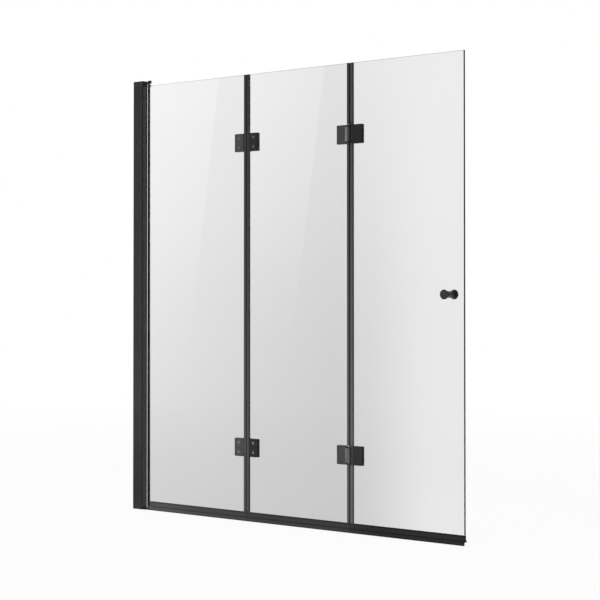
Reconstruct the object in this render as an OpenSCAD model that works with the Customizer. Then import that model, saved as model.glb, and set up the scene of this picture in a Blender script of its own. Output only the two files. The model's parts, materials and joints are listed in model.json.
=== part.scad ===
// Three-leaf folding bath screen. X runs from the wall to the free edge, Z is up, and Y = 0 is the
// middle of the glass: -Y is the room side and +Y the bath side. Z = 0 is the rim of the bath.

/* [Screen] */
// Height of the whole screen
screen_h = 1400; // [1000:10:1600]
// From the wall pivot to the first fold
leaf_1_w = 429; // [300:0.5:500]
// From the first fold to the second
leaf_2_w = 406; // [300:0.5:500]
// From the second fold to the free edge of the glass
leaf_3_w = 403; // [300:0.5:500]

/* [Glass] */
// Thickness of the glass
glass_t = 6; // [5:0.5:8]
// Height of the glass's lower edge above the bath rim
glass_foot = 13; // [12:0.5:18]
// From the top of the screen down to the glass's upper edge
glass_drop = 16.5; // [14:0.5:30]
// Width of the ground arris along the glass edges
arris = 0.6; // [0.3:0.1:1]

/* [Wall channel] */
// Depth of the channel, out from the wall
channel_d = 40; // [34:0.2:50]
// Width of the channel across the glass
channel_w = 24; // [22:0.5:32]
// Thickness of the channel's flanges
channel_t = 1.4; // [1.2:0.1:2]
// Thickness of the web against the wall
web_t = 1.6; // [1.4:0.1:2.5]
// Diameter of the wall screw holes
wall_hole_d = 5.5; // [4:0.5:6.5]
// Distance between the outer pair of wall screw holes
outer_pitch = 1200; // [800:10:1240]
// Distance between the inner pair of wall screw holes
inner_pitch = 400; // [200:10:600]

/* [Adjusting profile] */
// How far the inner profile stands out of the channel
adjust_out = 1.5; // [1.5:0.1:8]
// How deep the inner profile reaches into the channel
adjust_in = 25; // [20:1:27]
// Thickness of the inner profile
adjust_t = 1.2; // [1:0.1:1.8]
// Gap between the inner profile and the channel on each side
slide_gap = 0.2; // [0.1:0.05:0.4]
// Distance between the upper and lower locking screws
lock_pitch = 900; // [500:10:1100]

/* [Wall pivot] */
// From the wall to the pivot axis
pivot_x = 59.5; // [58:0.5:72]
// Diameter of the round pivot post
post_d = 8.4; // [8.4:0.1:12]
// How far the post's fork reaches past the pivot axis
fork_reach = 4; // [3.5:0.5:8]
// Wall of the post behind the glass edge
fork_root = 1.2; // [0.8:0.1:2]
// Height of the round ended bosses that carry the pivots
arm_t = 9; // [8:0.5:10]
// How far a boss reaches past the pivot axis before its round end
boss_reach = 5.5; // [3:0.5:8]
// Thickness of the tongues that join the bosses to the caps
tongue_t = 3; // [2.4:0.2:5]
// Width of a tongue at its cap
tongue_w = 14; // [10:0.5:20]
// Height of the top cap
cap_h = 18; // [14:1:30]
// Chamfer round the outside of the end caps
cap_chamfer = 1.2; // [0.6:0.1:2]
// Diameter of the pivot pins
pivot_pin_d = 4; // [3.5:0.5:4.5]
// Wall of the pivot bushes
pivot_bush_t = 1; // [0.8:0.1:1.2]

/* [Fold hinges] */
// From the top and the foot of the screen to the middle of the hinges
hinge_inset = 227.5; // [120:0.5:300]
// Height of a hinge
hinge_h = 56; // [50:1:70]
// From the fold to the outer end of the hinge plates
plate_out = 46.8; // [42:0.1:60]
// From the fold to the inner end of the hinge plates
plate_in = 11.2; // [11.2:0.1:13]
// Thickness of the clamp plate
clamp_t = 3.2; // [2.6:0.1:5]
// Thickness of the hinge leaf on the knuckle side
leaf_t = 4; // [3.6:0.1:5]
// Thickness of the gaskets between metal and glass
gasket_t = 0.8; // [0.5:0.1:1.5]
// From the middle of the glass to the hinge axis
axis_off = 10.4; // [10.4:0.1:16]
// Diameter of the knuckles
knuckle_d = 11.6; // [11:0.1:11.6]
// Length of the middle knuckle
mid_knuckle_h = 42; // [30:1:44]
// Diameter of the hinge pins
hinge_pin_d = 6; // [5:0.5:7]
// Wall of the hinge bushes
hinge_bush_t = 1.2; // [0.8:0.1:1.6]
// Thickness of the bush flanges between the knuckles
flange_t = 0.8; // [0.5:0.1:1.5]
// From the fold to the line of clamp screws
screw_u = 30; // [26:0.5:34]
// Distance between the two clamp screws of a plate
screw_pitch = 29.5; // [24:0.5:34]
// Diameter of the clamp screws
screw_d = 5; // [4:0.5:6]
// Diameter of a clamp screw's countersunk head
head_d = 8.6; // [8.4:0.1:10]
// Diameter of the holes through the glass
glass_hole_d = 12; // [10:0.5:14]

/* [Seals] */
// From the fold to the edge of the glass
fold_gap = 4.2; // [3.8:0.1:5]
// From the fold to the outer end of an edge seal
seal_reach = 10.7; // [8:0.1:10.9]
// Overall thickness of an edge seal across the glass
seal_w = 10; // [9.4:0.1:10.2]
// Half width of the groove between the two edge seals of a fold
groove_half = 2.6; // [2:0.1:3.2]
// Height of the bottom seal
bottom_seal_h = 28.6; // [24:0.2:36]
// Wall of the bottom seal beside the glass
bottom_wall = 2; // [1.4:0.1:2.6]
// How far the drip fin reaches to the bath side
fin_reach = 10.1; // [8:0.1:10.1]
// Gap between the bottom seals at each fold, each side
seal_end_gap = 0.5; // [0.3:0.1:2]

/* [Knob] */
// From the free edge of the glass to the knob
knob_inset = 52; // [35:1:100]
// Height of the knob above the bath rim
knob_z = 700; // [400:10:900]
// Outer diameter of the knob
knob_d = 28; // [22:0.5:40]
// Diameter of the knob's neck at the glass
knob_neck_d = 18.5; // [16:0.5:20]
// Length of each knob
knob_l = 24; // [18:0.5:32]
// Diameter of the stud that joins the two knobs
stud_d = 6; // [5:0.5:8]

/* [Hidden] */
$fn = 64;
fit = 0.03; // radial gap of pieces fixed in one another
run = 0.05; // radial gap of running fits
seat = 0.1; // gap between stacked faces that can turn
lip_gap = 0.16; // from a fold to the round lip of an edge seal
touch = 0.02; // gap between clamped faces
step = 0.01; // overlap that joins shapes within one piece

fold_1_x = pivot_x + leaf_1_w;
fold_2_x = fold_1_x + leaf_2_w;
free_x = fold_2_x + leaf_3_w;
glass_half = glass_t / 2;
glass_top = screen_h - glass_drop;

profile_x = channel_d + adjust_out;
adjust_x = channel_d - adjust_in;
slide_half = channel_w / 2 - channel_t - slide_gap;
profile_bottom = arm_t;
profile_top = screen_h - cap_h;

lock_hole_d = 4;
lock_head_d = 7.4;
lock_head_h = 2.2;
lock_reach = 4.5;
lock_x = adjust_x + 8;
lock_z = [for (k = [-1, 0, 1]) screen_h / 2 + k * lock_pitch / 2];
wall_hole_z = [
    for (pitch = [outer_pitch, inner_pitch], side = [-1, 1]) screen_h / 2 + side * pitch / 2
];

port_d = 3;
port_wall = 1.2;
port_x = adjust_x + 14;
port_y = slide_half - adjust_t - port_d / 2 - 0.4;
port_screw_l = 20;
port_head_d = 6;
port_head_h = 1.7;

groove_neck = 1.4;
groove_w = 3;
groove_d = 3;
groove_wall = 1.1;
groove_y = slide_half - adjust_t - groove_w;
neck_y = slide_half - adjust_t - groove_neck;
carrier_out = 2.1;
lip_root = 1.2;
lip_tip = 1;
bulb_r = 1;
bulb_gap = 0.3;
bulb_angle = 130;

post_r = post_d / 2;
fork_half = glass_half + 1.2;
post_glass_x = pivot_x + fork_root;
upper_flange_t = 3;
lower_flange_t = 0.8;
pivot_flange_d = 7.6;
pivot_bush_r = pivot_pin_d / 2 + run + pivot_bush_t;
pivot_depth = arm_t - 2.2;
boss_chamfer = 0.5;
ear_t = 1.2;
ear_reach = 9.5;
ear_h = 5;

gasket_face = glass_half + gasket_t + touch;
clamp_face = gasket_face + touch;
bevel = 0.7;
plate_r = 2;
hinge_z = [hinge_inset, screen_h - hinge_inset];
knuckle_r = knuckle_d / 2;
knuckle_gap = flange_t + 2 * seat;
outer_knuckle_h = (hinge_h - mid_knuckle_h) / 2 - knuckle_gap;
hinge_bush_r = hinge_pin_d / 2 + run + hinge_bush_t;
web_u = plate_in + 4;
web_foot = seal_w / 2 + 0.3;
ramp_angle = 10;
ramp_r = knuckle_r - 0.3;
thread_floor = 0.8;
head_h = 2.3;
socket_d = 3;
sleeve_gap = 0.1;

bottom_seal_u = boss_reach + post_r + 2;
slot_floor = 1.5;
lip_h = 8.5;
lip_t = 3.4;
front_out = 6;
fin_t = 1.3;

knob_x = free_x - knob_inset;
washer_t = 1;
stud_depth = 16;

// Shapes that repeat

// A cylinder that lies along +Y
module cyl_y(r, l) {
    rotate([-90, 0, 0]) cylinder(r = r, h = l);
}

// A profile in the XY plane, raised from z0 to z1
module upright(z0, z1) {
    translate([0, 0, z0]) linear_extrude(z1 - z0) children();
}

// A profile whose own X and Y stand for Y and Z, drawn out along X
module along_x(x0, x1) {
    translate([x0, 0, 0]) rotate([90, 0, 90]) linear_extrude(x1 - x0) children();
}

// A profile whose own X and Y stand for X and Z, drawn out along +Y
module along_y(y0, y1) {
    translate([0, y1, 0]) rotate([90, 0, 0]) linear_extrude(y1 - y0) children();
}

// A rectangle with its four corners cut off
module cut_rect(x0, x1, y0, y1, c) {
    polygon([
        [x0 + c, y0], [x1 - c, y0], [x1, y0 + c], [x1, y1 - c],
        [x1 - c, y1], [x0 + c, y1], [x0, y1 - c], [x0, y0 + c]
    ]);
}

// A rectangle with rounded corners
module round_rect(x0, x1, y0, y1, r) {
    translate([x0 + r, y0]) square([x1 - x0 - 2 * r, y1 - y0]);
    translate([x0, y0 + r]) square([x1 - x0, y1 - y0 - 2 * r]);
    for (x = [x0 + r, x1 - r], y = [y0 + r, y1 - r]) translate([x, y]) circle(r);
}

// Countersunk screw along +Z: its flat head lies at z = 0 and it points up
module flat_screw(d, head, head_height, l) {
    difference() {
        rotate_extrude() polygon([
            [0, 0], [head / 2, 0], [head / 2, 0.3], [d / 2, head_height], [d / 2, l - 0.4],
            [d / 2 - 0.4, l], [0, l]
        ]);
        translate([0, 0, -1]) cylinder(d = socket_d * d / screw_d, h = 2.2, $fn = 6);
    }
}

// The room that such a screw takes, with its fit
module screw_room(d, head, head_height, l) {
    rotate_extrude() polygon([
        [0, -1], [head / 2 + fit, -1], [head / 2 + fit, 0.3 + fit], [d / 2 + fit, head_height + fit],
        [d / 2 + fit, l], [0, l]
    ]);
}

// Wall side

module wall_channel() {
    color("#262626") difference() {
        upright(profile_bottom, profile_top) difference() {
            translate([0, -channel_w / 2]) square([channel_d, channel_w]);
            translate([web_t, channel_t - channel_w / 2])
                square([channel_d, channel_w - 2 * channel_t]);
        }
        for (z = wall_hole_z) translate([-1, 0, z])
            rotate([0, 90, 0]) cylinder(d = wall_hole_d, h = web_t + 2);
        for (z = lock_z) translate([lock_x, slide_half, z]) cyl_y(lock_hole_d / 2 + fit, channel_w);
    }
}

module port_places() {
    for (side = [-1, 1]) translate([port_x, side * port_y]) children();
}

module adjust_profile() {
    color("#202020") difference() {
        upright(profile_bottom, profile_top) difference() {
            union() {
                difference() {
                    translate([adjust_x, -slide_half]) square([adjust_in + adjust_out, 2 * slide_half]);
                    translate([adjust_x - 1, adjust_t - slide_half])
                        square([adjust_in + adjust_out + 1 - adjust_t, 2 * (slide_half - adjust_t)]);
                }
                port_places() circle(d = port_d + 2 * port_wall);
                translate([profile_x - adjust_t - groove_d - groove_wall, groove_y - groove_wall])
                    square([groove_d + groove_wall + step, groove_w + groove_wall + step]);
            }
            port_places() circle(d = port_d + 2 * fit);
            translate([profile_x - adjust_t - groove_d, groove_y]) square([groove_d, groove_w]);
            translate([profile_x - adjust_t - step, neck_y]) square([adjust_t + 1, groove_neck]);
        }
        for (z = lock_z) translate([lock_x, 0, z]) cyl_y(lock_hole_d / 2 + fit, channel_w);
    }
}

module adjust_screws() {
    color("#b8b8b8") for (z = lock_z)
        translate([lock_x, channel_w / 2 + touch, z]) rotate([-90, 0, 0]) difference() {
            rotate_extrude() polygon([
                [0, -lock_reach], [lock_hole_d / 2, -lock_reach], [lock_hole_d / 2, 0],
                [lock_head_d / 2, 0], [lock_head_d / 2, lock_head_h - 0.9],
                [lock_head_d / 2 - 0.9, lock_head_h], [0, lock_head_h]
            ]);
            translate([0, 0, lock_head_h - 1.2]) cylinder(d = 2.4, h = 2, $fn = 6);
        }
}

// Body of a cap across the profile, between two heights, with chamfered long edges
module cap_body(z0, z1) {
    along_x(0, profile_x) cut_rect(-channel_w / 2, channel_w / 2, z0, z1, cap_chamfer);
}

// Tongue from a cap to the pivot, with its foot at the given height
module tongue(z) {
    upright(z, z + tongue_t) polygon([
        [profile_x - step, -tongue_w / 2], [pivot_x, -post_r], [pivot_x, post_r],
        [profile_x - step, tongue_w / 2]
    ]);
}

// Boss that carries a pivot, between two heights, with chamfered edges
module boss(z0, z1) {
    along_x(pivot_x, pivot_x + boss_reach) cut_rect(-post_r, post_r, z0, z1, boss_chamfer);
    for (x = [pivot_x, pivot_x + boss_reach]) translate([x, 0, 0]) rotate_extrude() intersection() {
        cut_rect(-post_r, post_r, z0, z1, boss_chamfer);
        translate([0, z0]) square([post_r, z1 - z0]);
    }
}

// Plug of a cap inside the inner profile, between two heights
module cap_plug(z0, z1) {
    half = slide_half - adjust_t - slide_gap;
    port_room = port_d / 2 + port_wall + slide_gap;
    groove_back = profile_x - adjust_t - groove_d - groove_wall - slide_gap;
    upright(z0, z1) difference() {
        translate([adjust_x, -half]) square([groove_back - adjust_x, 2 * half]);
        port_places() circle(port_room);
        for (side = [-1, 1]) translate([port_x - port_room, side > 0 ? port_y : -half - 1])
            square([2 * port_room, half - port_y + 1]);
    }
}

module top_cap() {
    arm_bottom = screen_h - arm_t;
    color("#242424") difference() {
        union() {
            cap_body(profile_top + touch, screen_h);
            tongue(arm_bottom);
            boss(arm_bottom, screen_h);
            cap_plug(profile_top - 12, profile_top + 1);
        }
        translate([pivot_x, 0, arm_bottom - 1]) cylinder(r = pivot_bush_r + fit, h = pivot_depth + 1);
        for (side = [-1, 1]) translate([port_x, side * port_y, screen_h]) rotate([180, 0, 0])
            screw_room(port_d, port_head_d, port_head_h, cap_h + 14);
    }
}

module bottom_cap() {
    color("#242424") difference() {
        union() {
            cap_body(0, arm_t - touch);
            tongue(0);
            boss(0, arm_t);
            cap_plug(arm_t - 1, arm_t + 12);
        }
        translate([pivot_x, 0, arm_t - pivot_depth])
            cylinder(r = pivot_bush_r + fit, h = pivot_depth + 1);
        for (side = [-1, 1]) translate([port_x, side * port_y, 0])
            screw_room(port_d, port_head_d, port_head_h, arm_t + 14);
    }
}

module cap_screws() {
    color("#b8b8b8") for (side = [-1, 1]) {
        translate([port_x, side * port_y, screen_h]) rotate([180, 0, 0])
            flat_screw(port_d, port_head_d, port_head_h, cap_h + port_screw_l);
        translate([port_x, side * port_y, 0])
            flat_screw(port_d, port_head_d, port_head_h, arm_t + port_screw_l);
    }
}

// Flanged bush whose flange lies just under z = 0 and whose sleeve goes up
module pivot_bush(flange) {
    rotate_extrude() polygon([
        [pivot_pin_d / 2 + run, -flange], [pivot_flange_d / 2, -flange],
        [pivot_flange_d / 2, -touch], [pivot_bush_r, -touch], [pivot_bush_r, pivot_depth - seat],
        [pivot_pin_d / 2 + run, pivot_depth - seat]
    ]);
}

module upper_bush() {
    color("#d9d9d4") translate([pivot_x, 0, screen_h - arm_t]) pivot_bush(upper_flange_t);
}

module lower_bush() {
    color("#d9d9d4") translate([pivot_x, 0, arm_t]) rotate([180, 0, 0])
        pivot_bush(lower_flange_t);
}

// Black carrier of the wall seal, held in the groove at the back of the inner profile
module wall_seal() {
    foot_x = profile_x - adjust_t - groove_d + seat;
    color("#1a1a1a") upright(profile_bottom + seat, profile_top - seat) {
        translate([foot_x, groove_y + seat]) square([groove_d - 2 * seat, groove_w - 2 * seat]);
        translate([foot_x, neck_y + seat])
            square([profile_x + carrier_out - foot_x, groove_neck - 2 * seat]);
    }
}

// Clear soft lip of the wall seal, whose bulb closes the gap to the pivot post
module wall_seal_bulb() {
    root = [profile_x + carrier_out + touch, neck_y + groove_neck / 2];
    reach = post_r + bulb_gap + bulb_r;
    bulb = [pivot_x + reach * cos(bulb_angle), reach * sin(bulb_angle)];
    color("#b4b6b6") upright(tongue_t + seat, screen_h - arm_t - seat) {
        polygon([
            root - [0, lip_root / 2], bulb - [0, lip_tip / 2], bulb + [0, lip_tip / 2],
            root + [0, lip_root / 2]
        ]);
        translate(bulb) circle(bulb_r);
    }
}

// First leaf at the wall

module pivot_post() {
    color("#222222") upright(glass_foot, glass_top) difference() {
        union() {
            translate([pivot_x, 0]) circle(post_r);
            translate([pivot_x, -fork_half]) square([fork_reach, 2 * fork_half]);
        }
        translate([post_glass_x, -glass_half - fit]) square([post_d, glass_t + 2 * fit]);
    }
}

// Collar, thrust face and pin of a post end, drawn for the lower end and pointing down
module pivot_fitting(room, flange, reach) {
    pin_l = pivot_depth - seat + flange - 0.4;
    collar = room - flange - seat;
    translate([pivot_x, 0, 0]) rotate_extrude() polygon([
        [0, -collar - pin_l], [pivot_pin_d / 2 - 0.5, -collar - pin_l],
        [pivot_pin_d / 2, 0.5 - collar - pin_l], [pivot_pin_d / 2, -collar],
        [post_r - 0.4, -collar], [post_r, 0.4 - collar], [post_r, -touch], [0, -touch]
    ]);
    for (side = [-1, 1]) scale([1, side, 1])
        along_y(glass_half + fit, glass_half + fit + ear_t) polygon([
            [pivot_x, -collar], [pivot_x + reach - 3, -touch - 1.2], [pivot_x + reach, -touch],
            [pivot_x + reach, 1.2], [pivot_x + fork_reach + touch, ear_h],
            [pivot_x + fork_reach + touch, -touch], [pivot_x, -touch]
        ]);
}

module lower_pivot() {
    color("#2a2a2a") translate([0, 0, glass_foot])
        pivot_fitting(glass_foot - arm_t, lower_flange_t, bottom_seal_u - 0.3);
}

module upper_pivot() {
    color("#2a2a2a") translate([0, 0, glass_top]) scale([1, 1, -1])
        pivot_fitting(glass_drop - arm_t, upper_flange_t, ear_reach);
}

// Glass, edge seals and bottom seals

// A pane between two edges, with holes at the given [x, z, diameter]
module pane(x0, x1, holes) {
    color("#cfe0e0", 0.35) difference() {
        intersection() {
            upright(glass_foot, glass_top) cut_rect(x0, x1, -glass_half, glass_half, arris);
            along_x(x0, x1) cut_rect(-glass_half, glass_half, glass_foot, glass_top, arris);
        }
        for (h = holes) translate([h[0], -glass_t, h[1]]) cyl_y(h[2] / 2, 2 * glass_t);
    }
}

// Holes for the clamp screws whose distance from the fold at fold_x is u, to the wall side if negative
function glass_holes(fold_x, u) = [
    for (z = hinge_z, k = [-1, 1]) [fold_x + u, z + k * screw_pitch / 2, glass_hole_d]
];

module glass_1() {
    pane(post_glass_x + fit, fold_1_x - fold_gap, glass_holes(fold_1_x, -screw_u));
}

module glass_2() {
    pane(fold_1_x + fold_gap, fold_2_x - fold_gap,
        concat(glass_holes(fold_1_x, screw_u), glass_holes(fold_2_x, -screw_u)));
}

module glass_3() {
    pane(fold_2_x + fold_gap, free_x,
        concat(glass_holes(fold_2_x, screw_u), [[knob_x, knob_z, stud_d + 4]]));
}

// Clip-on edge seal. It stands on the bottom seal and grips the glass from its edge.
module edge_seal(fold_x, side) {
    half = seal_w / 2;
    bulb_r = groove_half / 2;
    color("#2b2b2b") translate([fold_x, 0, 0]) scale([side, 1, 1])
        upright(bottom_seal_h + touch, glass_top) difference() {
            union() {
                cut_rect(groove_half, seal_reach, -half, half, 0.5);
                translate([lip_gap + bulb_r, 0]) circle(bulb_r);
                translate([lip_gap + bulb_r, -0.6]) square([groove_half, 1.2]);
            }
            translate([fold_gap - seat, -glass_half - touch])
                square([seal_reach, glass_t + 2 * touch]);
        }
}

module seal_1_fold() {
    edge_seal(fold_1_x, -1);
}

module seal_2_wall_side() {
    edge_seal(fold_1_x, 1);
}

module seal_2_free_side() {
    edge_seal(fold_2_x, -1);
}

module seal_3_fold() {
    edge_seal(fold_2_x, 1);
}

// Bottom seal between two ends: a slot for the glass, a ribbed front, a drip fin on the bath side
// and a soft lip that rests on the rim
module bottom_seal(x0, x1) {
    back = glass_half + bottom_wall;
    floor_z = glass_foot - slot_floor;
    fin_z = floor_z - 1;
    color("#2b2b2b") along_x(x0, x1) difference() {
        polygon([
            [-front_out, 1.2], [1 - front_out, 0], [lip_t - front_out, 0.8],
            [lip_t - front_out, lip_h], [1, floor_z - 2], [back, floor_z - 2],
            [back, floor_z + 1.8], [fin_reach - 0.6, fin_z - fin_t], [fin_reach, fin_z - 0.6],
            [back, floor_z + 5], [back, bottom_seal_h - 1.2], [back - 0.8, bottom_seal_h],
            [0.2 - back, bottom_seal_h], [-front_out, bottom_seal_h - 1.4],
            [-front_out, bottom_seal_h - 3], [-back, bottom_seal_h - 4.2], [-back, floor_z - 2],
            [-front_out, floor_z - 4]
        ]);
        translate([-glass_half - touch, glass_foot - touch]) square([glass_t + 2 * touch, bottom_seal_h]);
        for (z = [floor_z + 1.5, floor_z + 7.5]) translate([-back - 1, z]) square([1.7, 1]);
    }
}

module seal_1_bottom() {
    bottom_seal(pivot_x + bottom_seal_u, fold_1_x - seal_end_gap);
}

module seal_2_bottom() {
    bottom_seal(fold_1_x + seal_end_gap, fold_2_x - seal_end_gap);
}

module seal_3_bottom() {
    bottom_seal(fold_2_x + seal_end_gap, free_x - arris);
}

// Fold hinges. They are drawn with the fold at u = 0, the leaf along +u and the knuckles at +v, and
// turned into place: u becomes X on the free side of the fold and -X on its wall side, and v becomes
// +Y where the knuckles are on the bath side and -Y where they are on the room side.

// Puts a hinge shape at a fold: side is -1 for the wall side, back is 1 for knuckles at +Y
module at_fold(fold_x, side, back) {
    translate([fold_x, 0, 0]) scale([side, back, 1]) children();
}

// A hinge plate round z = 0 between two faces, with bevelled edges on its outer face
module plate_body(v0, v1) {
    half = hinge_h / 2;
    intersection() {
        along_y(v0, v1) round_rect(plate_in, plate_out, -half, half, plate_r);
        upright(-half, half) polygon([
            [plate_in, v0], [plate_out, v0], [plate_out, v1 - bevel], [plate_out - bevel, v1],
            [plate_in + bevel, v1], [plate_in, v1 - bevel]
        ]);
        along_x(plate_in, plate_out) polygon([
            [v0, -half], [v1 - bevel, -half], [v1, bevel - half], [v1, half - bevel],
            [v1 - bevel, half], [v0, half]
        ]);
    }
}

// Clamp plate opposite the knuckles, with its two countersunk holes
module clamp_plate(z) {
    v1 = clamp_face + clamp_t;
    translate([0, 0, z]) difference() {
        scale([1, -1, 1]) plate_body(clamp_face, v1);
        for (k = [-1, 1]) translate([screw_u, -v1, k * screw_pitch / 2]) rotate([-90, 0, 0])
            screw_room(screw_d, head_d, head_h, clamp_t + 1);
    }
}

// Outline of a knuckle with the web that ramps up to it from its plate
module knuckle_outline() {
    translate([0, axis_off]) circle(knuckle_r);
    polygon([
        [0, web_foot], [web_u, web_foot], [web_u, clamp_face + leaf_t],
        [ramp_r * cos(ramp_angle), axis_off + ramp_r * sin(ramp_angle)], [0, axis_off]
    ]);
}

// Hinge leaf on the knuckle side. Leaf a has the long middle knuckle, leaf b the two outer ones.
module hinge_leaf(z, outer) {
    half = hinge_h / 2;
    mid = mid_knuckle_h / 2;
    bore = outer ? hinge_pin_d / 2 + fit : hinge_bush_r + fit;
    spans = outer ? [[-half, outer_knuckle_h - half], [half - outer_knuckle_h, half]] : [[-mid, mid]];
    translate([0, 0, z]) difference() {
        union() {
            plate_body(clamp_face, clamp_face + leaf_t);
            for (s = spans) upright(s[0], s[1]) knuckle_outline();
        }
        translate([0, axis_off, -hinge_h]) cylinder(r = bore, h = 2 * hinge_h);
        for (k = [-1, 1]) translate([screw_u, clamp_face - 1, k * screw_pitch / 2])
            cyl_y(screw_d / 2 + fit, leaf_t - thread_floor + 1);
    }
}

// Headed pin that drops in from above
module hinge_pin(z) {
    half = hinge_h / 2;
    r = hinge_pin_d / 2;
    head_r = r + 1.4;
    translate([0, axis_off, z]) rotate_extrude() polygon([
        [0, -half], [r - 0.5, -half], [r, 0.5 - half], [r, half + touch], [head_r, half + touch],
        [head_r, half + 0.9], [head_r - 0.5, half + 1.4], [0, half + 1.4]
    ]);
}

// Two flanged bushes of one hinge, in the ends of the middle knuckle
module hinge_bush_pair(z) {
    mid = mid_knuckle_h / 2;
    r0 = hinge_pin_d / 2 + run;
    for (end = [-1, 1]) translate([0, axis_off, z]) scale([1, 1, end]) rotate_extrude() polygon([
        [r0, mid - 9], [hinge_bush_r, mid - 9], [hinge_bush_r, mid + touch],
        [knuckle_r - 0.6, mid + touch], [knuckle_r - 0.6, mid + touch + flange_t],
        [r0, mid + touch + flange_t]
    ]);
}

// Gaskets on both faces of the glass, each with half of the sleeve that lines the glass hole
module gasket_pair(z) {
    half = hinge_h / 2;
    sleeve_r = glass_hole_d / 2 - sleeve_gap;
    for (face = [-1, 1]) translate([0, 0, z]) scale([1, face, 1]) difference() {
        union() {
            along_y(glass_half + touch, gasket_face)
                round_rect(plate_in, plate_out, -half, half, plate_r);
            for (k = [-1, 1]) translate([screw_u, seat, k * screw_pitch / 2])
                cyl_y(sleeve_r, gasket_face - seat);
        }
        for (k = [-1, 1]) translate([screw_u, -1, k * screw_pitch / 2])
            cyl_y(screw_d / 2 + sleeve_gap, glass_t + 2 * gasket_t);
    }
}

// Two clamp screws of one hinge half
module clamp_screws(z) {
    v1 = clamp_face + clamp_t;
    l = v1 + clamp_face + leaf_t - thread_floor - 0.4;
    for (k = [-1, 1]) translate([screw_u, -v1, z + k * screw_pitch / 2]) rotate([-90, 0, 0])
        flat_screw(screw_d, head_d, head_h, l);
}

module fold_1_lower_leaf_a() {
    color("#2e2e2e") at_fold(fold_1_x, -1, 1) hinge_leaf(hinge_z[0], false);
}

module fold_1_upper_leaf_a() {
    color("#2e2e2e") at_fold(fold_1_x, -1, 1) hinge_leaf(hinge_z[1], false);
}

module fold_1_lower_plate_a() {
    color("#2e2e2e") at_fold(fold_1_x, -1, 1) clamp_plate(hinge_z[0]);
}

module fold_1_upper_plate_a() {
    color("#2e2e2e") at_fold(fold_1_x, -1, 1) clamp_plate(hinge_z[1]);
}

module fold_1_gaskets_a() {
    color("#3a3a3a") at_fold(fold_1_x, -1, 1) for (z = hinge_z) gasket_pair(z);
}

module fold_1_screws_a() {
    color("#b8b8b8") at_fold(fold_1_x, -1, 1) for (z = hinge_z) clamp_screws(z);
}

module fold_1_lower_pin() {
    color("#c4c4c4") at_fold(fold_1_x, -1, 1) hinge_pin(hinge_z[0]);
}

module fold_1_upper_pin() {
    color("#c4c4c4") at_fold(fold_1_x, -1, 1) hinge_pin(hinge_z[1]);
}

module fold_1_lower_leaf_b() {
    color("#2e2e2e") at_fold(fold_1_x, 1, 1) hinge_leaf(hinge_z[0], true);
}

module fold_1_upper_leaf_b() {
    color("#2e2e2e") at_fold(fold_1_x, 1, 1) hinge_leaf(hinge_z[1], true);
}

module fold_1_lower_plate_b() {
    color("#2e2e2e") at_fold(fold_1_x, 1, 1) clamp_plate(hinge_z[0]);
}

module fold_1_upper_plate_b() {
    color("#2e2e2e") at_fold(fold_1_x, 1, 1) clamp_plate(hinge_z[1]);
}

module fold_1_gaskets_b() {
    color("#3a3a3a") at_fold(fold_1_x, 1, 1) for (z = hinge_z) gasket_pair(z);
}

module fold_1_screws_b() {
    color("#b8b8b8") at_fold(fold_1_x, 1, 1) for (z = hinge_z) clamp_screws(z);
}

module fold_1_bushes() {
    color("#d9d9d4") at_fold(fold_1_x, 1, 1) for (z = hinge_z) hinge_bush_pair(z);
}

module fold_2_lower_leaf_a() {
    color("#2e2e2e") at_fold(fold_2_x, -1, -1) hinge_leaf(hinge_z[0], false);
}

module fold_2_upper_leaf_a() {
    color("#2e2e2e") at_fold(fold_2_x, -1, -1) hinge_leaf(hinge_z[1], false);
}

module fold_2_lower_plate_a() {
    color("#2e2e2e") at_fold(fold_2_x, -1, -1) clamp_plate(hinge_z[0]);
}

module fold_2_upper_plate_a() {
    color("#2e2e2e") at_fold(fold_2_x, -1, -1) clamp_plate(hinge_z[1]);
}

module fold_2_gaskets_a() {
    color("#3a3a3a") at_fold(fold_2_x, -1, -1) for (z = hinge_z) gasket_pair(z);
}

module fold_2_screws_a() {
    color("#b8b8b8") at_fold(fold_2_x, -1, -1) for (z = hinge_z) clamp_screws(z);
}

module fold_2_lower_pin() {
    color("#c4c4c4") at_fold(fold_2_x, -1, -1) hinge_pin(hinge_z[0]);
}

module fold_2_upper_pin() {
    color("#c4c4c4") at_fold(fold_2_x, -1, -1) hinge_pin(hinge_z[1]);
}

module fold_2_lower_leaf_b() {
    color("#2e2e2e") at_fold(fold_2_x, 1, -1) hinge_leaf(hinge_z[0], true);
}

module fold_2_upper_leaf_b() {
    color("#2e2e2e") at_fold(fold_2_x, 1, -1) hinge_leaf(hinge_z[1], true);
}

module fold_2_lower_plate_b() {
    color("#2e2e2e") at_fold(fold_2_x, 1, -1) clamp_plate(hinge_z[0]);
}

module fold_2_upper_plate_b() {
    color("#2e2e2e") at_fold(fold_2_x, 1, -1) clamp_plate(hinge_z[1]);
}

module fold_2_gaskets_b() {
    color("#3a3a3a") at_fold(fold_2_x, 1, -1) for (z = hinge_z) gasket_pair(z);
}

module fold_2_screws_b() {
    color("#b8b8b8") at_fold(fold_2_x, 1, -1) for (z = hinge_z) clamp_screws(z);
}

module fold_2_bushes() {
    color("#d9d9d4") at_fold(fold_2_x, 1, -1) for (z = hinge_z) hinge_bush_pair(z);
}

// Knob

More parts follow.
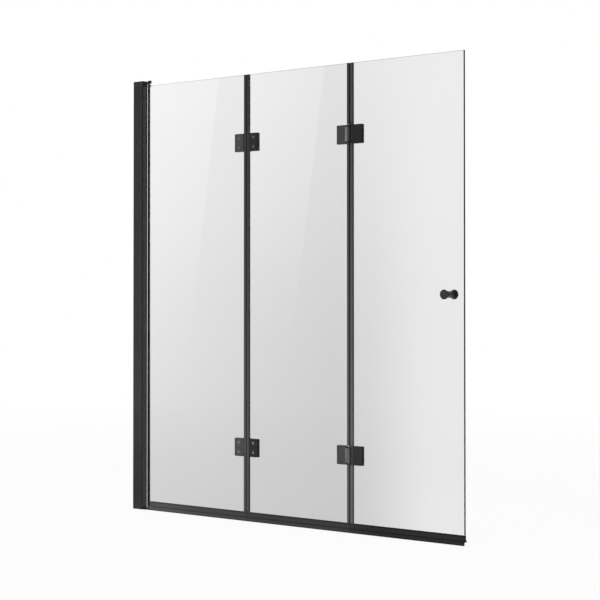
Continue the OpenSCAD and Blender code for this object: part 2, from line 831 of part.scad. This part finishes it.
// One knob on its axis, from the washer out along +Z, flared from its neck to its face
module knob() {
    r0 = knob_neck_d / 2;
    r1 = knob_d / 2;
    edge = 3;
    flare = knob_l - 7;
    difference() {
        union() {
            rotate_extrude() polygon([
                [0, 0], [r0 - 0.4, 0], [r0, 0.4], [r0, 2],
                for (t = [0:0.125:1]) [r0 + (r1 - r0) * t * t * (3 - 2 * t), 2 + (flare - 2) * t],
                [r1, knob_l - edge], [r1 - edge, knob_l - edge], [0, knob_l - edge]
            ]);
            rotate_extrude() {
                translate([0, knob_l - edge - step]) square([r1 - edge, edge + step]);
                intersection() {
                    translate([r1 - edge, knob_l - edge]) circle(edge);
                    translate([r1 - edge, knob_l - edge]) square(edge);
                }
            }
        }
        translate([0, 0, -1]) cylinder(d = stud_d + 2 * fit, h = stud_depth + 1);
    }
}

module at_knob(face) {
    translate([knob_x, face * (glass_half + washer_t + 2 * touch), knob_z])
        rotate([-90 * face, 0, 0]) children();
}

module knob_front() {
    color("#1e1e1e") at_knob(-1) knob();
}

module knob_rear() {
    color("#1e1e1e") at_knob(1) knob();
}

module knob_stud() {
    half = glass_half + washer_t + stud_depth - 0.6;
    color("#c4c4c4") translate([knob_x, -half, knob_z]) cyl_y(stud_d / 2, 2 * half);
}

module knob_washers() {
    color("#dcdcdc") for (face = [-1, 1]) translate([knob_x, 0, knob_z]) scale([1, face, 1])
        difference() {
            union() {
                translate([0, glass_half + touch, 0]) cyl_y(knob_neck_d / 2 + 0.6, washer_t);
                translate([0, seat, 0]) cyl_y(stud_d / 2 + 2 - sleeve_gap, glass_half + step);
            }
            translate([0, -1, 0]) cyl_y(stud_d / 2 + sleeve_gap, glass_t + 2 * washer_t);
        }
}

wall_channel();
adjust_profile();
adjust_screws();
top_cap();
bottom_cap();
cap_screws();
upper_bush();
lower_bush();
wall_seal();
wall_seal_bulb();
pivot_post();
upper_pivot();
lower_pivot();
glass_1();
seal_1_fold();
seal_1_bottom();
fold_1_lower_leaf_a();
fold_1_upper_leaf_a();
fold_1_lower_plate_a();
fold_1_upper_plate_a();
fold_1_gaskets_a();
fold_1_screws_a();
fold_1_lower_pin();
fold_1_upper_pin();
glass_2();
seal_2_wall_side();
seal_2_free_side();
seal_2_bottom();
fold_1_lower_leaf_b();
fold_1_upper_leaf_b();
fold_1_lower_plate_b();
fold_1_upper_plate_b();
fold_1_gaskets_b();
fold_1_screws_b();
fold_1_bushes();
fold_2_lower_leaf_a();
fold_2_upper_leaf_a();
fold_2_lower_plate_a();
fold_2_upper_plate_a();
fold_2_gaskets_a();
fold_2_screws_a();
fold_2_lower_pin();
fold_2_upper_pin();
glass_3();
seal_3_fold();
seal_3_bottom();
fold_2_lower_leaf_b();
fold_2_upper_leaf_b();
fold_2_lower_plate_b();
fold_2_upper_plate_b();
fold_2_gaskets_b();
fold_2_screws_b();
fold_2_bushes();
knob_front();
knob_rear();
knob_stud();
knob_washers();
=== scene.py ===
"""Looks of a three-leaf folding bath screen: black coated fittings and clear glass.

Lengths are in metres unless a comment says mm. The wall is at X = 0, the glass stands in the plane
Y = 0 with the room at -Y, and the bath rim is at Z = 0.
"""

import json
import math

import bmesh
import bpy
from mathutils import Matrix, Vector


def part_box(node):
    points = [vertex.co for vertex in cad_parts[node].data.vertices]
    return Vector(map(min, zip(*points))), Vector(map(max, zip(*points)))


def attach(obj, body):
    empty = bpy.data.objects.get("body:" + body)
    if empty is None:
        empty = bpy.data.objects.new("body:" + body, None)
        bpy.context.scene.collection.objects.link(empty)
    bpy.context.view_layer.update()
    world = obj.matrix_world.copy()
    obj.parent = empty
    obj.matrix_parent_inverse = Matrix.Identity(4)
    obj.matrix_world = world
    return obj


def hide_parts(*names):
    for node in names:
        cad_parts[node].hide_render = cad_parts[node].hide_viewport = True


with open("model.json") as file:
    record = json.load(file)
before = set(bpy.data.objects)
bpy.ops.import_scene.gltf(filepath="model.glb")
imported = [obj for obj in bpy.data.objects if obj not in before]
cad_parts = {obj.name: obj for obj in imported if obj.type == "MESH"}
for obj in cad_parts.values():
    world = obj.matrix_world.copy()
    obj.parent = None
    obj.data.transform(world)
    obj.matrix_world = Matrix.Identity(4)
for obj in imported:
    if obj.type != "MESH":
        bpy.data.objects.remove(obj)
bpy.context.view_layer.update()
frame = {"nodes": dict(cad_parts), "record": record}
nodes = frame["nodes"]

MM = 0.001
slots = {part["node"]: part["material_slot"] for part in frame["record"]["subparts"]}
joints = {joint["name"]: joint for joint in frame["record"]["behaviour"]["joints"]}
# X of the two folds
FOLDS = [joints[name]["pos_m"][0] for name in ("fold_1", "fold_2")]


# Camera, as the photograph was taken: from the room side and past the free edge, looking a little
# up, with the picture cut out below the middle of the view

CAMERA_PLACE = Vector((3.890, -3.850, 0.692))
CAMERA_TURN = math.radians(39.64)
CAMERA_PITCH = math.radians(0.88)
SENSOR = 36.0
FOCAL_PIXELS = 1656.0
PHOTO_WIDTH = 600
HORIZON_ROW = 297.3


def make_camera():
    data = bpy.data.cameras.new("photo_camera")
    data.sensor_width = SENSOR
    data.lens = FOCAL_PIXELS / PHOTO_WIDTH * SENSOR
    data.clip_start, data.clip_end = 0.05, 100
    rise = FOCAL_PIXELS * math.tan(CAMERA_PITCH)
    data.shift_y = (HORIZON_ROW - rise - PHOTO_WIDTH / 2) / PHOTO_WIDTH
    camera = bpy.data.objects.new("photo_camera", data)
    camera.location = CAMERA_PLACE
    camera.rotation_euler = (math.pi / 2 + CAMERA_PITCH, 0, CAMERA_TURN)
    bpy.context.scene.collection.objects.link(camera)
    bpy.context.scene.camera = camera


# Shaders


def linear(hex_colour):
    """An sRGB hex colour as linear RGBA."""
    parts = [int(hex_colour[k : k + 2], 16) / 255 for k in (1, 3, 5)]
    return tuple(c / 12.92 if c <= 0.04045 else ((c + 0.055) / 1.055) ** 2.4 for c in parts) + (1,)


def add_node(tree, kind, settings=(), links=()):
    """Adds a node, with settings of its properties or sockets, and links into its sockets."""
    node = tree.nodes.new(kind)
    for name, value in dict(settings).items():
        if isinstance(name, str) and hasattr(node, name):
            setattr(node, name, value)
        else:
            node.inputs[name].default_value = value
    for name, output in dict(links).items():
        tree.links.new(output, node.inputs[name])
    return node


def new_material(name):
    material = bpy.data.materials.new(name)
    material.use_nodes = True
    tree = material.node_tree
    tree.nodes.clear()
    return material, tree, add_node(tree, "ShaderNodeOutputMaterial")


def object_axes(tree):
    """The outputs X, Y and Z of the object's own coordinates."""
    place = add_node(tree, "ShaderNodeTexCoord").outputs["Object"]
    return add_node(tree, "ShaderNodeSeparateXYZ", links={"Vector": place}).outputs


def set_stops(ramp, stops):
    """Fills a colour ramp. stops are (place from 0 to 1, linear RGBA)."""
    while len(ramp.elements) < len(stops):
        ramp.elements.new(0.5)
    for element, (place, colour) in zip(ramp.elements, stops):
        element.position, element.color = place, colour


def value_along(tree, axis, stops):
    """A value that changes in straight ramps along an object axis. stops are (mm, value)."""
    low, high = stops[0][0] * MM, stops[-1][0] * MM
    peak = max(value for _, value in stops)
    share = add_node(
        tree,
        "ShaderNodeMapRange",
        {"From Min": low, "From Max": high},
        {"Value": object_axes(tree)[axis]},
    )
    ramp = add_node(tree, "ShaderNodeValToRGB", links={"Fac": share.outputs["Result"]})
    places = [(place * MM - low) / (high - low) for place, _ in stops]
    greys = [(value / peak, value / peak, value / peak, 1) for _, value in stops]
    set_stops(ramp.color_ramp, list(zip(places, greys)))
    return add_node(
        tree, "ShaderNodeMath", {"operation": "MULTIPLY", 1: peak}, {0: ramp.outputs["Color"]}
    ).outputs[0]


# The clouds in the gloss of a coating, drawn as coarse as they need to be to show, and how far its
# roughness strays in them
CLOUD_SIZE = 40 * MM
GLOSS_SPREAD = 0.06


def coating(name, grain, colour, roughness, gloss_level, shade=None):
    """A coated, moulded or extruded surface with faint unevenness in its gloss and relief.

    grain is (cell, height) of the relief in mm. shade adds nodes to the tree that it is given, and
    returns the output that the colour is multiplied by.
    """
    material, tree, output = new_material(name)
    place = add_node(tree, "ShaderNodeTexCoord").outputs["Object"]
    cell, height = grain
    relief = add_node(
        tree,
        "ShaderNodeTexNoise",
        {"Scale": 1 / (cell * MM), "Detail": 2.0, "Roughness": 0.5},
        {"Vector": place},
    )
    bump = add_node(
        tree,
        "ShaderNodeBump",
        {"Strength": 1.0, "Distance": height * MM},
        {"Height": relief.outputs["Fac"]},
    )
    clouds = add_node(
        tree, "ShaderNodeTexNoise", {"Scale": 1 / CLOUD_SIZE, "Detail": 3.0}, {"Vector": place}
    )
    gloss = add_node(
        tree,
        "ShaderNodeMapRange",
        {
            "From Min": 0.3,
            "From Max": 0.7,
            "To Min": roughness - GLOSS_SPREAD,
            "To Max": roughness + GLOSS_SPREAD,
        },
        {"Value": clouds.outputs["Fac"]},
    )
    surface = add_node(
        tree,
        "ShaderNodeBsdfPrincipled",
        {"Base Color": linear(colour), "Specular IOR Level": gloss_level},
        {"Roughness": gloss.outputs["Result"], "Normal": bump.outputs["Normal"]},
    )
    if shade:
        toned = add_node(
            tree,
            "ShaderNodeVectorMath",
            {"operation": "SCALE", 0: linear(colour)[:3]},
            {"Scale": shade(tree)},
        )
        tree.links.new(toned.outputs["Vector"], surface.inputs["Base Color"])
    tree.links.new(surface.outputs["BSDF"], output.inputs["Surface"])
    return material


def plain_surface(name, settings):
    """A surface that is the same all over, with settings of the Principled BSDF."""
    material, tree, output = new_material(name)
    surface = add_node(tree, "ShaderNodeBsdfPrincipled", settings)
    tree.links.new(surface.outputs["BSDF"], output.inputs["Surface"])
    return material


# Glass

GLASS_FOOT = 0.013
GLASS_TOP = 1.3835
# Painted shade that greys the glass towards its foot, as (share of the height, colour)
GLASS_PAINTED_SHADE = [
    (0.05, "#d0d0d0"),
    (0.27, "#d4d4d4"),
    (0.48, "#d8d8d8"),
    (0.68, "#e0e0e0"),
    (0.88, "#e5e5e5"),
    (1.0, "#e8e8e8"),
]
# X where the black sealant beside the pivot post ends, at the foot and at the top of the glass
SEALANT_END = (0.0668, 0.0646)
# X where the ground free edge starts, painted black there: a painted shade
GROUND_EDGE = 1.2964


def clear_glass():
    """Toughened float glass: clear, hardly tinted, with a painted shade that greys it towards its
    foot. It is black up to the end of the post's sealant, and painted black at the ground free
    edge, a painted shade where light can't leave."""
    material, tree, output = new_material("clear_toughened_glass")
    axes = object_axes(tree)
    height = add_node(
        tree,
        "ShaderNodeMapRange",
        {"From Min": GLASS_FOOT, "From Max": GLASS_TOP},
        {"Value": axes["Z"]},
    ).outputs["Result"]
    # Painted shade: the glass greys towards its foot
    painted_shade = add_node(tree, "ShaderNodeValToRGB", links={"Fac": height})
    painted_shade.color_ramp.interpolation = "B_SPLINE"
    set_stops(painted_shade.color_ramp, [(place, linear(colour)) for place, colour in GLASS_PAINTED_SHADE])
    clear = add_node(
        tree,
        "ShaderNodeBsdfPrincipled",
        {"Roughness": 0.0, "IOR": 1.52, "Transmission Weight": 1.0},
        {"Base Color": painted_shade.outputs["Color"]},
    )
    black = add_node(
        tree,
        "ShaderNodeBsdfPrincipled",
        {"Base Color": linear("#050505"), "Specular IOR Level": 0.1},
    )
    sealant = add_node(
        tree,
        "ShaderNodeMapRange",
        {"To Min": SEALANT_END[0], "To Max": SEALANT_END[1]},
        {"Value": height},
    )
    at_post = add_node(
        tree,
        "ShaderNodeMath",
        {"operation": "LESS_THAN"},
        {0: axes["X"], 1: sealant.outputs["Result"]},
    )
    # Painted shade: black at the ground free edge
    at_edge = add_node(
        tree, "ShaderNodeMath", {"operation": "GREATER_THAN", 1: GROUND_EDGE}, {0: axes["X"]}
    )
    blackened = add_node(
        tree, "ShaderNodeMath", {"operation": "ADD"}, {0: at_post.outputs[0], 1: at_edge.outputs[0]}
    )
    mix = add_node(
        tree,
        "ShaderNodeMixShader",
        links={0: blackened.outputs[0], 1: clear.outputs["BSDF"], 2: black.outputs["BSDF"]},
    )
    tree.links.new(mix.outputs[0], output.inputs["Surface"])
    return material


# Tones that change along a piece, as (mm, factor of its colour): painted light and shade on the
# bottom seals, and a lighter grey collar on the knobs

# Bottom seals: painted shade along the lips and in the groove of the face, and painted light on the
# faces between, by height above the rim
SEAL_LIGHT_AND_SHADE = [
    (0, 0.6),
    (2.5, 0.6),
    (3.5, 1.15),
    (9.5, 1.1),
    (10.5, 0.6),
    (14, 0.6),
    (15, 1.15),
    (25, 1.15),
    (26, 0.5),
    (28.6, 0.5),
]
# Painted light and shade along them, lighter at the wall and darker to the free edge, by distance
# from the wall: the first two leaves, and the last one
LONG_FADE = [(60, 1.9), (280, 1.15), (455, 1.0), (540, 0.78), (894, 0.7)]
END_FADE = [(894, 1.6), (940, 1.25), (1010, 1.0)]
# Knobs: a lighter grey collar at the glass, by distance from the middle of the glass
COLLAR = [(-9.4, 1.0), (-8.6, 25.0), (8.6, 25.0), (9.4, 1.0)]


def seal_shade(fade):
    """The painted light and shade of a bottom seal, with its fade away from the wall."""

    def shade(tree):
        tones = {0: value_along(tree, "Z", SEAL_LIGHT_AND_SHADE), 1: value_along(tree, "X", fade)}
        return add_node(tree, "ShaderNodeMath", {"operation": "MULTIPLY"}, tones).outputs[0]

    return shade


def collar_shade(tree):
    return value_along(tree, "Y", COLLAR)


# Finishes

# Relief of the coatings as (cell, height) in mm. It is as fine as the real one, so it shows in
# close views alone.
POWDER_COAT = (1.2, 0.003)
SPRAY_COAT = (1.0, 0.003)
SOFT_PVC = (3.0, 0.003)
NYLON_GRAIN = (0.8, 0.005)
RUBBER_GRAIN = (0.8, 0.004)
SMOOTH_ACETAL = (1.0, 0.002)
SMOOTH_STEEL = (1.0, 0.001)

FINISHES = {
    # Extruded aluminium, powder coated satin black: soft sheen, fine orange peel
    "black_profile": coating("satin_black_powder_coat", POWDER_COAT, "#151516", 0.36, 0.13),
    # Moulded glass-filled nylon: duller than the coated metal
    "black_cap": coating("moulded_black_nylon", NYLON_GRAIN, "#121213", 0.44, 0.16),
    # Cast zinc, sprayed satin black: a sharper, brighter sheen than the powder coat's
    "black_fitting": coating("satin_black_sprayed_zinc", SPRAY_COAT, "#1e1e1f", 0.3, 0.3),
    # Extruded soft PVC: semi-matt, no grain
    "seal_rubber": coating("extruded_black_pvc", SOFT_PVC, "#2b2b2c", 0.42, 0.06),
    # Moulded EPDM rubber: dull black
    "gasket_rubber": coating("moulded_epdm_rubber", RUBBER_GRAIN, "#0f0f0f", 0.6, 0.3),
    # Moulded black acetal: smooth, slightly glossy
    "bearing_plastic": coating("moulded_black_acetal", SMOOTH_ACETAL, "#161616", 0.35, 0.3),
    # Extruded clear soft PVC: see-through, a little cloudy
    "clear_plastic": plain_surface(
        "clear_soft_pvc",
        {"Base Color": linear("#f2f2f0"), "Roughness": 0.2, "IOR": 1.3, "Transmission Weight": 1.0},
    ),
    # Stainless steel, turned and tumbled: grey metal with soft, wide highlights
    "steel": plain_surface(
        "tumbled_stainless_steel",
        {"Base Color": linear("#b4b3b0"), "Metallic": 1.0, "Roughness": 0.34},
    ),
    "clear_glass": clear_glass(),
}

# Pieces that are a little duller or glossier than the others like them, and most of them painted
# darker or lighter too, a painted shade or painted light

# Bottom seals: semi-matt, with painted light and shade, and duller and darker on the last leaf
matt_pvc_light_and_shade = coating(
    "matt_extruded_black_pvc", SOFT_PVC, "#1c1c1d", 0.45, 0.13, seal_shade(LONG_FADE)
)
dull_pvc_light_and_shade = coating("dull_extruded_black_pvc", SOFT_PVC, "#101011", 0.5, 0.04, seal_shade(END_FADE))
# Knobs: sprayed black with a soft sheen, darker than the other fittings, a painted shade, and
# lighter grey at the collar
knob_coat = coating("matt_black_knob_coat", SPRAY_COAT, "#101011", 0.4, 0.12, collar_shade)
# Hinge halves past the folds: the same spray with less sheen, and darker, a painted shade
shaded_matt_zinc = coating("matt_black_sprayed_zinc", SPRAY_COAT, "#101011", 0.4, 0.12)
# Screws: blackened steel, greyer than the coated metal around them
black_screws = coating("blackened_screw_steel", SMOOTH_STEEL, "#3c3c3d", 0.35, 0.4)
# Pivot post: nearly matt, and darker, a painted shade. Inner wall profile: glossy, it mirrors the
# studio, and a touch lighter, a painted light.
shaded_matt_powder_coat = coating("matt_black_powder_coat", POWDER_COAT, "#0e0e0f", 0.5, 0.04)
glossy_powder_coat = coating("glossy_black_powder_coat", POWDER_COAT, "#161617", 0.3, 0.42)
# Two of the edge seals at the folds: one is darker, a painted shade, as it catches less light than
# the others, and one lighter, a painted light, as it catches more
pvc_painted_shade = coating("dark_extruded_black_pvc", SOFT_PVC, "#282829", 0.42, 0.05)
pvc_painted_light = coating("light_extruded_black_pvc", SOFT_PVC, "#313132", 0.42, 0.1)

OWN_FINISHES = {
    "pivot_post": shaded_matt_powder_coat,
    "adjust_profile": glossy_powder_coat,
    "seal_1_bottom": matt_pvc_light_and_shade,
    "seal_2_bottom": matt_pvc_light_and_shade,
    "seal_3_bottom": dull_pvc_light_and_shade,
    "seal_2_wall_side": pvc_painted_shade,
    "seal_3_fold": pvc_painted_light,
    "knob_front": knob_coat,
    "knob_rear": knob_coat,
}
for fold in ("fold_1", "fold_2"):
    for half in ("a", "b"):
        OWN_FINISHES[f"{fold}_screws_{half}"] = black_screws
    for height in ("upper", "lower"):
        OWN_FINISHES[f"{fold}_{height}_leaf_b"] = shaded_matt_zinc
        OWN_FINISHES[f"{fold}_{height}_plate_b"] = shaded_matt_zinc

for name, piece in nodes.items():
    piece.data.materials.clear()
    piece.data.materials.append(OWN_FINISHES.get(name) or FINISHES[slots[name]])
for name in ("glass_1", "glass_2", "glass_3"):
    nodes[name].visible_shadow = False


def add_mesh(name, points, faces, material):
    """A new mesh object at the origin."""
    mesh = bpy.data.meshes.new(name)
    mesh.from_pydata(points, [], faces)
    mesh.materials.append(material)
    thing = bpy.data.objects.new(name, mesh)
    bpy.context.scene.collection.objects.link(thing)
    return thing


# Knobs: a collar at the glass, a waist, a longer flare and a crisper rim than the CAD ones have

# (share of the radius, share of the length from the glass outwards)
KNOB_PROFILE = [
    (0.0, 0.0),
    (0.62, 0.0),
    (0.64, 0.02),
    (0.64, 0.22),
    (0.7, 0.35),
    (0.79, 0.54),
    (0.9, 0.74),
    (0.975, 0.88),
    (1.0, 0.93),
    (1.0, 0.965),
    (0.97, 0.99),
    (0.93, 1.0),
    (0.78, 0.985),
    (0.0, 0.985),
]
TURNS = 72
# The points of a pole start on a tiny circle, and merging them closes it
POLE_SHARE = 1e-4
MERGE_DISTANCE = 0.01 * MM
# Edges that turn by more than this stay crisp
CRISP_ANGLE = math.radians(28)


def make_knob(name, outward):
    """A turned knob in the box of its CAD node. outward is -1 or 1, its way along Y."""
    low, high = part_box(name)
    radius = (high[0] - low[0]) / 2
    length = high[1] - low[1]
    foot = high[1] if outward < 0 else low[1]
    middle_x, middle_z = (low[0] + high[0]) / 2, (low[2] + high[2]) / 2
    points = []
    for wide, far in KNOB_PROFILE:
        r = max(wide, POLE_SHARE) * radius
        y = foot + outward * far * length
        for k in range(TURNS):
            turn = 2 * math.pi * k / TURNS
            points.append((middle_x + r * math.cos(turn), y, middle_z + r * math.sin(turn)))
    faces = []
    for ring in range(len(KNOB_PROFILE) - 1):
        for k in range(TURNS):
            corners = [ring * TURNS + k, ring * TURNS + (k + 1) % TURNS]
            faces.append(corners + [corner + TURNS for corner in reversed(corners)])
    knob = add_mesh(f"turned_{name}", points, faces, OWN_FINISHES[name])
    shaper = bmesh.new()
    shaper.from_mesh(knob.data)
    bmesh.ops.remove_doubles(shaper, verts=shaper.verts, dist=MERGE_DISTANCE)
    bmesh.ops.recalc_face_normals(shaper, faces=shaper.faces)
    shaper.to_mesh(knob.data)
    shaper.free()
    for face in knob.data.polygons:
        face.use_smooth = True
    knob.data.set_sharp_from_angle(angle=CRISP_ANGLE)
    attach(knob, "leaf_3")
    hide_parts(name)


make_knob("knob_front", -1)
make_knob("knob_rear", 1)


# Studio: white surroundings, a white floor that keeps a faint shadow, soft lamps, and cards of
# light that only mirrored rays see


def seen_as_background(tree):
    """1 for rays that show the background: from the camera, mirrored, or through the glass."""
    path = add_node(tree, "ShaderNodeLightPath")
    mirrored = add_node(
        tree,
        "ShaderNodeMath",
        {"operation": "ADD"},
        {0: path.outputs["Is Camera Ray"], 1: path.outputs["Is Glossy Ray"]},
    )
    return add_node(
        tree,
        "ShaderNodeMath",
        {"operation": "ADD", "use_clamp": True},
        {0: mirrored.outputs[0], 1: path.outputs["Is Transmission Ray"]},
    ).outputs[0]


def make_world(level):
    """Surroundings that look white. level is how strongly they light the object."""
    world = bpy.data.worlds.new("white_studio")
    world.use_nodes = True
    tree = world.node_tree
    tree.nodes.clear()
    soft = add_node(tree, "ShaderNodeBackground", {"Color": linear("#ffffff"), "Strength": level})
    white = add_node(tree, "ShaderNodeBackground", {"Color": linear("#ffffff"), "Strength": 1.0})
    mix = add_node(
        tree,
        "ShaderNodeMixShader",
        links={0: seen_as_background(tree), 1: soft.outputs[0], 2: white.outputs[0]},
    )
    output = add_node(tree, "ShaderNodeOutputWorld")
    tree.links.new(mix.outputs[0], output.inputs["Surface"])
    bpy.context.scene.world = world


FLOOR_Z = -1 * MM
# Distances from the foot of the wall profile between which the floor turns plain white
PLAIN_FLOOR = (1.5, 5.0)


def make_floor(size, shade):
    """White floor. shade is how much of its brightness comes from the light that falls on it."""
    material, tree, output = new_material("white_floor")
    lit = add_node(tree, "ShaderNodeBsdfDiffuse", {"Color": linear("#f4f4f4")})
    white = add_node(tree, "ShaderNodeEmission", {"Color": linear("#ffffff"), "Strength": 1.0})
    place = add_node(tree, "ShaderNodeTexCoord")
    reach = add_node(
        tree, "ShaderNodeVectorMath", {"operation": "LENGTH"}, {0: place.outputs["Object"]}
    )
    near, far = PLAIN_FLOOR
    whiteness = add_node(
        tree,
        "ShaderNodeMapRange",
        {"From Min": near, "From Max": far, "To Min": 1 - shade, "To Max": 1.0},
        {"Value": reach.outputs["Value"]},
    )
    share = add_node(
        tree,
        "ShaderNodeMath",
        {"operation": "MULTIPLY"},
        {0: seen_as_background(tree), 1: whiteness.outputs["Result"]},
    )
    mix = add_node(
        tree,
        "ShaderNodeMixShader",
        links={0: share.outputs[0], 1: lit.outputs[0], 2: white.outputs[0]},
    )
    tree.links.new(mix.outputs[0], output.inputs["Surface"])
    half = size / 2
    corners = [(-half, -half), (half, -half), (half, half), (-half, half)]
    floor = add_mesh("floor", [(x, y, FLOOR_Z) for x, y in corners], [(0, 1, 2, 3)], material)
    return floor


def make_lamp(name, place, aim, width, height, power):
    """A soft lamp that lights the object and isn't seen, not even mirrored or through the glass."""
    data = bpy.data.lights.new(name, "AREA")
    data.shape = "RECTANGLE"
    data.size, data.size_y = width, height
    data.energy = power
    lamp = bpy.data.objects.new(name, data)
    lamp.location = place
    lamp.rotation_euler = (Vector(aim) - Vector(place)).to_track_quat("-Z", "Y").to_euler()
    lamp.visible_camera = lamp.visible_glossy = lamp.visible_transmission = False
    bpy.context.scene.collection.objects.link(lamp)
    return lamp


def keep_light_off(piece, lamp):
    """Lets the lamp light everything but one piece."""
    unlit = bpy.data.collections.new(f"{piece.name}_without_{lamp.name}")
    unlit.objects.link(piece)
    unlit.collection_objects[0].light_linking.link_state = "EXCLUDE"
    lamp.light_linking.receiver_collection = unlit


def ease(value, start, end):
    """0 before start, 1 past end, and a smooth step between them."""
    t = min(max((value - start) / (end - start), 0.0), 1.0)
    return t * t * (3 - 2 * t)


def glow_card(name, rows, strengths, see_through):
    """A card of light that only mirrored rays see, made of rows of points with their strengths.
    A see-through one adds its light to what is behind it."""
    material, tree, output = new_material(name)
    level = add_node(tree, "ShaderNodeAttribute", {"attribute_name": "glow"})
    light = add_node(
        tree, "ShaderNodeEmission", {"Color": linear("#ffffff")}, {"Strength": level.outputs["Fac"]}
    )
    if see_through:
        clear = add_node(tree, "ShaderNodeBsdfTransparent")
        light = add_node(
            tree, "ShaderNodeAddShader", links={0: light.outputs[0], 1: clear.outputs[0]}
        )
    tree.links.new(light.outputs[0], output.inputs["Surface"])
    across = len(rows[0])
    faces = [
        (k * across + i, k * across + i + 1, (k + 1) * across + i + 1, (k + 1) * across + i)
        for k in range(len(rows) - 1)
        for i in range(across - 1)
    ]
    card = add_mesh(name, [point for row in rows for point in row], faces, material)
    glow = card.data.attributes.new("glow", "FLOAT", "POINT")
    glow.data.foreach_set("value", [value for row in strengths for value in row])
    card.visible_camera = card.visible_diffuse = card.visible_transmission = False
    card.visible_shadow = card.visible_volume_scatter = False


# A board in front of the screen, wide enough to fill what the camera sees mirrored in the glass. A
# place on it is given by u and w, the X and Z at which the camera sees it in the glass.

MIRRORED_CAMERA = Vector((CAMERA_PLACE.x, -CAMERA_PLACE.y, CAMERA_PLACE.z))
# Distance of the board from the mirrored camera, as a share of the glass's: at the foot, and how
# much more it is for each metre up
BOARD_FOOT = 1.015
BOARD_LEAN = 0.31
# X between which the glow comes up past the pivot post
POST_EDGE = (0.065, 0.070)
BOARD_COLUMNS = sorted([-0.6 + 0.02 * i for i in range(126)] + [*POST_EDGE, sum(POST_EDGE) / 2])
BOARD_ROWS = [0.03 + 0.07 * k for k in range(32)]
# Faint light everywhere
BASE_GLOW = 0.05
# The glow at the wall end: its strength there, and the X at which it has faded out
WALL_GLOW = 2.9
WALL_GLOW_END = 0.82
# Share of it at the foot, what it gains, and the heights between which it does
WALL_GLOW_FOOT = 0.4
WALL_GLOW_GAIN = 0.55
WALL_GLOW_RISE = (0.0, 0.55)
# Share that it loses towards the top at the wall, and the heights between which it does
TOP_LOSS = 0.25
TOP_LOSS_RISE = (0.7, 1.3)
# The even glow of the last leaf, and half the width over which it comes up at the fold
LAST_LEAF_GLOW = 0.8
FOLD_BLUR = 0.02
# The glow at the free end: its strength at the foot, what it loses for each metre up, and the X
# between which it comes up
FREE_END_GLOW = 4.2
FREE_END_LOSS = 2.4
FREE_END_RISE = (0.9, 1.22)


def board_point(u, w, nearer=0.0):
    reach = BOARD_FOOT + BOARD_LEAN * w - nearer
    return MIRRORED_CAMERA + (Vector((u, 0, w)) - MIRRORED_CAMERA) * reach


def board_glow(u, w):
    """Brightness of the board: a wide glow at the wall end, and one low at the free end."""
    wall_end = WALL_GLOW * max(0.0, 1 - u / WALL_GLOW_END) * ease(u, *POST_EDGE)
    top = 1 - TOP_LOSS * (1 - 2 * u) * ease(w, *TOP_LOSS_RISE)
    wall_end *= (WALL_GLOW_FOOT + WALL_GLOW_GAIN * ease(w, *WALL_GLOW_RISE)) * top
    last_leaf = LAST_LEAF_GLOW * ease(u, FOLDS[1] - FOLD_BLUR, FOLDS[1] + FOLD_BLUR)
    free_end = (FREE_END_GLOW - FREE_END_LOSS * w) * ease(u, *FREE_END_RISE)
    return BASE_GLOW + wall_end + max(0.0, last_leaf + free_end)


def make_board():
    rows = [[board_point(u, w) for u in BOARD_COLUMNS] for w in BOARD_ROWS]
    strengths = [[board_glow(u, w) for u in BOARD_COLUMNS] for w in BOARD_ROWS]
    glow_card("reflection_board", rows, strengths, see_through=False)


STREAK_ROWS = [0.4 + 0.1 * k for k in range(12)]
# How much nearer than the board a streak is, as a share of the glass's distance
STREAK_NEARER = 0.004
STREAK_GLOW = 0.8
# Heights between which it comes up
STREAK_RISE = (0.4, 1.3)


def make_streak(name, start, foot_edge, slant):
    """A streak in front of the board, from the upright line at X = start to a slanting edge.
    foot_edge is the X of that edge at the foot, and slant how far it moves for each metre up."""
    rows = [
        [board_point(u, w, STREAK_NEARER) for u in (start, foot_edge + slant * w)]
        for w in STREAK_ROWS
    ]
    strengths = [[STREAK_GLOW * ease(w, *STREAK_RISE)] * 2 for w in STREAK_ROWS]
    glow_card(name, rows, strengths, see_through=True)


# Distance of the side cards from the plane of the glass
SIDE_CARD_GAP = 0.08


def make_side_card(name, x, out, top, strength):
    """An upright card past the wall end, for the flanks of the knuckles to mirror. out is how far
    it reaches into the room."""
    rows = [[Vector((x, y, z)) for y in (-out, -SIDE_CARD_GAP)] for z in (0.0, top)]
    glow_card(name, rows, [[strength] * 2] * 2, see_through=False)


make_camera()
make_world(level=0.6)
floor = make_floor(size=40.0, shade=0.08)
make_lamp("key_softbox", (-1.8, -3.2, 2.6), aim=(0.6, 0, 0.7), width=1.6, height=1.6, power=50)
make_lamp("fill_softbox", (3.0, -2.0, 2.4), aim=(0.6, 0, 0.7), width=1.6, height=1.6, power=20)
low_lamp = make_lamp(
    "low_softbox", (0.75, -1.1, 0.12), aim=(0.75, 0, 0.1), width=2.2, height=0.2, power=48
)
keep_light_off(floor, low_lamp)
make_side_card("tall_side_card", x=-1.2, out=0.52, top=2.0, strength=6.0)
make_side_card("low_side_card", x=-0.75, out=0.43, top=0.34, strength=10.0)
make_board()
make_streak("wall_streak", start=-0.02, foot_edge=0.167, slant=0.149)
make_streak("middle_streak", start=FOLDS[0], foot_edge=0.583, slant=0.157)

bpy.context.scene.view_settings.view_transform = "Standard"
